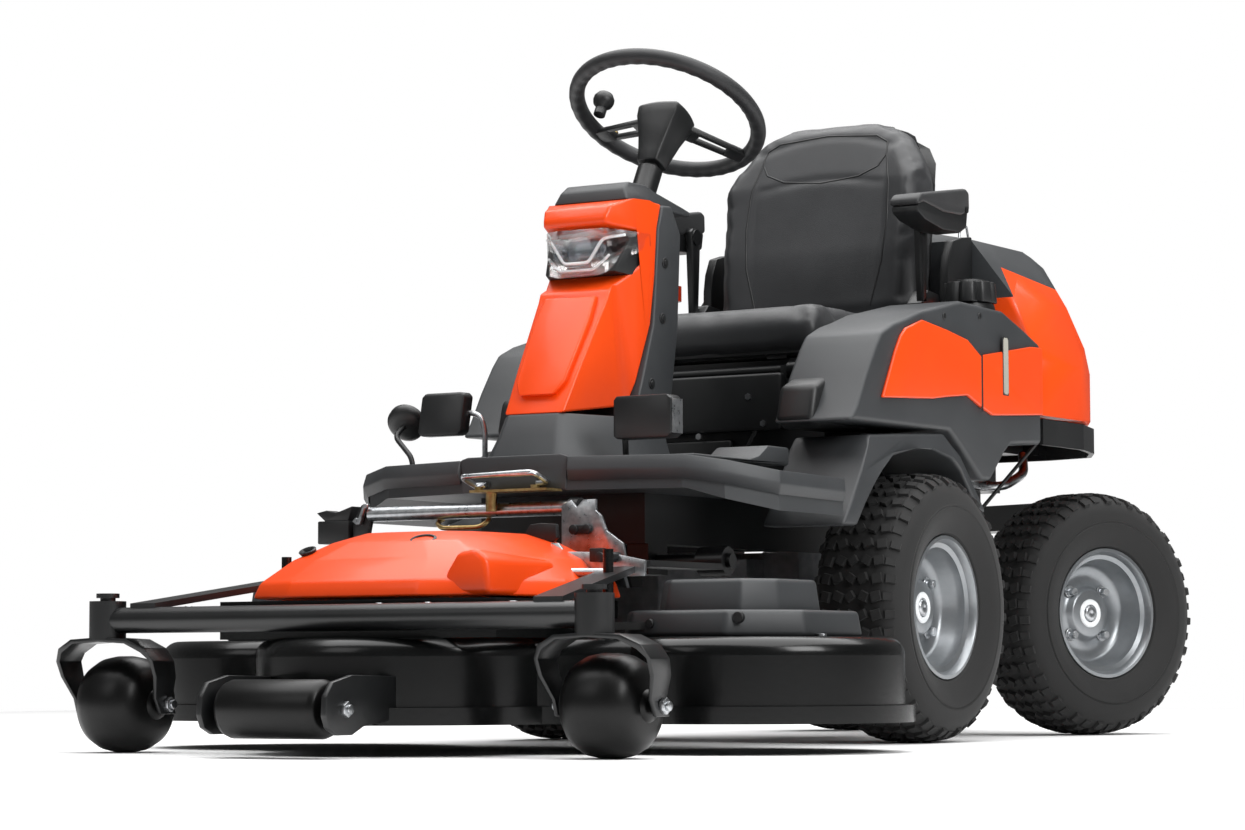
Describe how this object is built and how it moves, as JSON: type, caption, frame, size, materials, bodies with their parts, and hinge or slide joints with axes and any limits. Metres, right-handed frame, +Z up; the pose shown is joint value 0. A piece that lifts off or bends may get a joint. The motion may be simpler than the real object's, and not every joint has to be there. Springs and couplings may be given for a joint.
{
  "type": "riding lawn mower",
  "caption": "Riding lawn mower with a front-mounted lobed cutting deck, steered rear axle, steering console, bucket seat and engine hood.",
  "frame": {"origin": "middle of the machine's footprint on the ground, with the rear axle turned as it stands", "axes": "+X to the operator's left, +Y to the rear, +Z up"},
  "size_m": [1.36, 2.6193, 1.1855],
  "materials": {
    "frame_steel": "black powder coat",
    "deck_steel": "black gloss enamel",
    "rim_steel": "silver paint",
    "bright_steel": "zinc plated",
    "tyre_rubber": "matt",
    "soft_rubber": "matt",
    "orange_plastic": "moulded, satin gloss",
    "grey_plastic": "moulded, fine grain",
    "black_plastic": "moulded, fine grain",
    "red_plastic": "moulded",
    "clear_lens": "clear",
    "lamp_reflector": "bright",
    "cast_alloy": "as cast",
    "seat_vinyl": "grained vinyl",
    "tank_plastic": "natural polyethylene"
  },
  "bodies": {
    "chassis": {"main_frame": "frame_steel", "front_axle": "cast_alloy", "floor_platform": "grey_plastic", "fender_left": "grey_plastic", "fender_right": "grey_plastic", "side_frame_left": "grey_plastic", "side_frame_right": "grey_plastic", "side_panel_left": "orange_plastic", "side_panel_right": "orange_plastic", "fuel_tank": "tank_plastic", "rear_bumper": "grey_plastic", "air_grille": "black_plastic", "engine": "cast_alloy", "muffler": "frame_steel", "seat_box": "black_plastic", "battery": "black_plastic", "console_base": "grey_plastic", "console_shell": "orange_plastic", "console_cap": "grey_plastic", "headlight_unit": "lamp_reflector", "headlight_lens": "clear_lens", "steering_column": "frame_steel", "hook_bar": "bright_steel"},
    "rear_axle_beam": {"rear_axle": "frame_steel"},
    "steering": {"steering_wheel": "black_plastic"},
    "spinner": {"spinner_knob": "black_plastic"},
    "lift": {"lift_frame": "frame_steel"},
    "bail": {"latch_bail": "bright_steel"},
    "deck": {"deck_shell": "deck_steel", "deck_rail": "deck_steel", "deck_cover": "orange_plastic", "belt_covers": "black_plastic", "drive_belt": "soft_rubber"},
    "cutter_centre": {"blade_centre": "bright_steel"},
    "cutter_left": {"blade_left": "bright_steel"},
    "cutter_right": {"blade_right": "bright_steel"},
    "scalp_roller": {"roller": "black_plastic"},
    "caster_left": {"caster_fork_left": "frame_steel"},
    "caster_right": {"caster_fork_right": "frame_steel"},
    "caster_wheel_left": {"caster_wheel_left": "soft_rubber"},
    "caster_wheel_right": {"caster_wheel_right": "soft_rubber"},
    "seat_swing": {"seat_plate": "frame_steel"},
    "seat": {"seat_cushion": "seat_vinyl", "seat_back": "seat_vinyl"},
    "arm_left": {"armrest_left": "soft_rubber"},
    "arm_right": {"armrest_right": "soft_rubber"},
    "engine_hood": {"hood": "orange_plastic"},
    "filler_cap": {"fuel_cap": "black_plastic"},
    "brake_pedal": {"pedal_brake": "soft_rubber"},
    "reverse_pedal": {"pedal_reverse": "soft_rubber"},
    "forward_pedal": {"pedal_forward": "soft_rubber"},
    "blade_switch": {"pto_knob": "red_plastic"},
    "wheel_front_left": {"rim_front_left": "rim_steel", "tyre_front_left": "tyre_rubber"},
    "wheel_front_right": {"rim_front_right": "rim_steel", "tyre_front_right": "tyre_rubber"},
    "wheel_rear_left": {"rim_rear_left": "rim_steel", "tyre_rear_left": "tyre_rubber"},
    "wheel_rear_right": {"rim_rear_right": "rim_steel", "tyre_rear_right": "tyre_rubber"}
  },
  "joints": [
    {"name": "rear_steer", "type": "hinge", "parent": "chassis", "child": "rear_axle_beam", "pos_m": [0, 0.94332, 0.446], "axis": [0, 0, 1], "range_deg": [-16, 60]},
    {"name": "steering_turn", "type": "hinge", "parent": "chassis", "child": "steering", "pos_m": [0, -0.17768, 1.092], "axis": [0, 0.4818, 0.8763], "range_deg": [-540, 144]},
    {"name": "spinner_turn", "type": "hinge", "parent": "steering", "child": "spinner", "pos_m": [-0.14091, -0.17428, 1.10839], "axis": [0, 0.4818, 0.8763], "continuous": true},
    {"name": "spin_front_left", "type": "hinge", "parent": "chassis", "child": "wheel_front_left", "pos_m": [0.355, 0.04332, 0.2315], "axis": [1, 0, 0], "continuous": true},
    {"name": "spin_front_right", "type": "hinge", "parent": "chassis", "child": "wheel_front_right", "pos_m": [-0.355, 0.04332, 0.2315], "axis": [1, 0, 0], "continuous": true},
    {"name": "spin_rear_left", "type": "hinge", "parent": "rear_axle_beam", "child": "wheel_rear_left", "pos_m": [0.32915, 0.81034, 0.2315], "axis": [0.9272, -0.3746, 0], "continuous": true},
    {"name": "spin_rear_right", "type": "hinge", "parent": "rear_axle_beam", "child": "wheel_rear_right", "pos_m": [-0.32915, 1.07631, 0.2315], "axis": [0.9272, -0.3746, 0], "continuous": true},
    {"name": "deck_lift", "type": "hinge", "parent": "chassis", "child": "lift", "pos_m": [0, -0.47668, 0.3], "axis": [-1, 0, 0], "range_deg": [0, 8]},
    {"name": "bail_lift", "type": "hinge", "parent": "chassis", "child": "bail", "pos_m": [0, -0.66268, 0.425], "axis": [-1, 0, 0], "range_deg": [0, 70]},
    {"name": "cutting_height", "type": "slide", "parent": "lift", "child": "deck", "axis": [0, 0, 1], "range_m": [-0.02, 0.005]},
    {"name": "blade_spin_centre", "type": "hinge", "parent": "deck", "child": "cutter_centre", "pos_m": [0, -0.93268, 0.072], "axis": [0, 0, 1], "continuous": true},
    {"name": "blade_spin_left", "type": "hinge", "parent": "deck", "child": "cutter_left", "pos_m": [0.425, -0.64468, 0.072], "axis": [0, 0, 1], "continuous": true},
    {"name": "blade_spin_right", "type": "hinge", "parent": "deck", "child": "cutter_right", "pos_m": [-0.425, -0.64468, 0.072], "axis": [0, 0, 1], "continuous": true},
    {"name": "roller_spin", "type": "hinge", "parent": "deck", "child": "scalp_roller", "pos_m": [0, -1.26668, 0.071], "axis": [1, 0, 0], "continuous": true},
    {"name": "caster_swivel_left", "type": "hinge", "parent": "lift", "child": "caster_left", "pos_m": [0.449, -1.12168, 0.175], "axis": [0, 0, 1], "continuous": true},
    {"name": "caster_spin_left", "type": "hinge", "parent": "caster_left", "child": "caster_wheel_left", "pos_m": [0.449, -1.07668, 0.075], "axis": [1, 0, 0], "continuous": true},
    {"name": "caster_swivel_right", "type": "hinge", "parent": "lift", "child": "caster_right", "pos_m": [-0.449, -1.12168, 0.175], "axis": [0, 0, 1], "continuous": true},
    {"name": "caster_spin_right", "type": "hinge", "parent": "caster_right", "child": "caster_wheel_right", "pos_m": [-0.449, -1.07668, 0.075], "axis": [1, 0, 0], "continuous": true},
    {"name": "seat_tilt", "type": "hinge", "parent": "chassis", "child": "seat_swing", "pos_m": [0, -0.03668, 0.648], "axis": [1, 0, 0], "range_deg": [0, 38]},
    {"name": "seat_slide", "type": "slide", "parent": "seat_swing", "child": "seat", "axis": [0, 1, 0], "range_m": [-0.06, 0]},
    {"name": "armrest_fold_left", "type": "hinge", "parent": "seat", "child": "arm_left", "pos_m": [0.25, 0.31332, 0.945], "axis": [-1, 0, 0], "range_deg": [0, 85]},
    {"name": "armrest_fold_right", "type": "hinge", "parent": "seat", "child": "arm_right", "pos_m": [-0.25, 0.31332, 0.945], "axis": [-1, 0, 0], "range_deg": [0, 85]},
    {"name": "hood_open", "type": "hinge", "parent": "chassis", "child": "engine_hood", "pos_m": [0, 0.93632, 0.6], "axis": [-1, 0, 0], "range_deg": [0, 75]},
    {"name": "cap_turn", "type": "hinge", "parent": "chassis", "child": "filler_cap", "pos_m": [0.338, 0.31432, 0.79], "axis": [0, 0, 1], "range_deg": [0, 120]},
    {"name": "brake_press", "type": "hinge", "parent": "chassis", "child": "brake_pedal", "pos_m": [0.15, -0.55668, 0.454], "axis": [1, 0, 0], "range_deg": [0, 14], "stiffness_Nm_per_rad": 8, "springref_deg": -6.88},
    {"name": "reverse_press", "type": "hinge", "parent": "chassis", "child": "reverse_pedal", "pos_m": [-0.18, -0.47668, 0.454], "axis": [1, 0, 0], "range_deg": [0, 14], "stiffness_Nm_per_rad": 8, "springref_deg": -6.88},
    {"name": "forward_press", "type": "hinge", "parent": "chassis", "child": "forward_pedal", "pos_m": [-0.3, -0.51668, 0.454], "axis": [1, 0, 0], "range_deg": [0, 14], "stiffness_Nm_per_rad": 8, "springref_deg": -6.88},
    {"name": "blade_switch_pull", "type": "slide", "parent": "chassis", "child": "blade_switch", "axis": [0, 0, 1], "range_m": [0, 0.012]}
  ],
  "couplings": [
    {"joint": "steering_turn", "follows": "rear_steer", "ratio": -9},
    {"joint": "blade_spin_left", "follows": "blade_spin_centre", "ratio": 1},
    {"joint": "blade_spin_right", "follows": "blade_spin_centre", "ratio": 1}
  ]
}
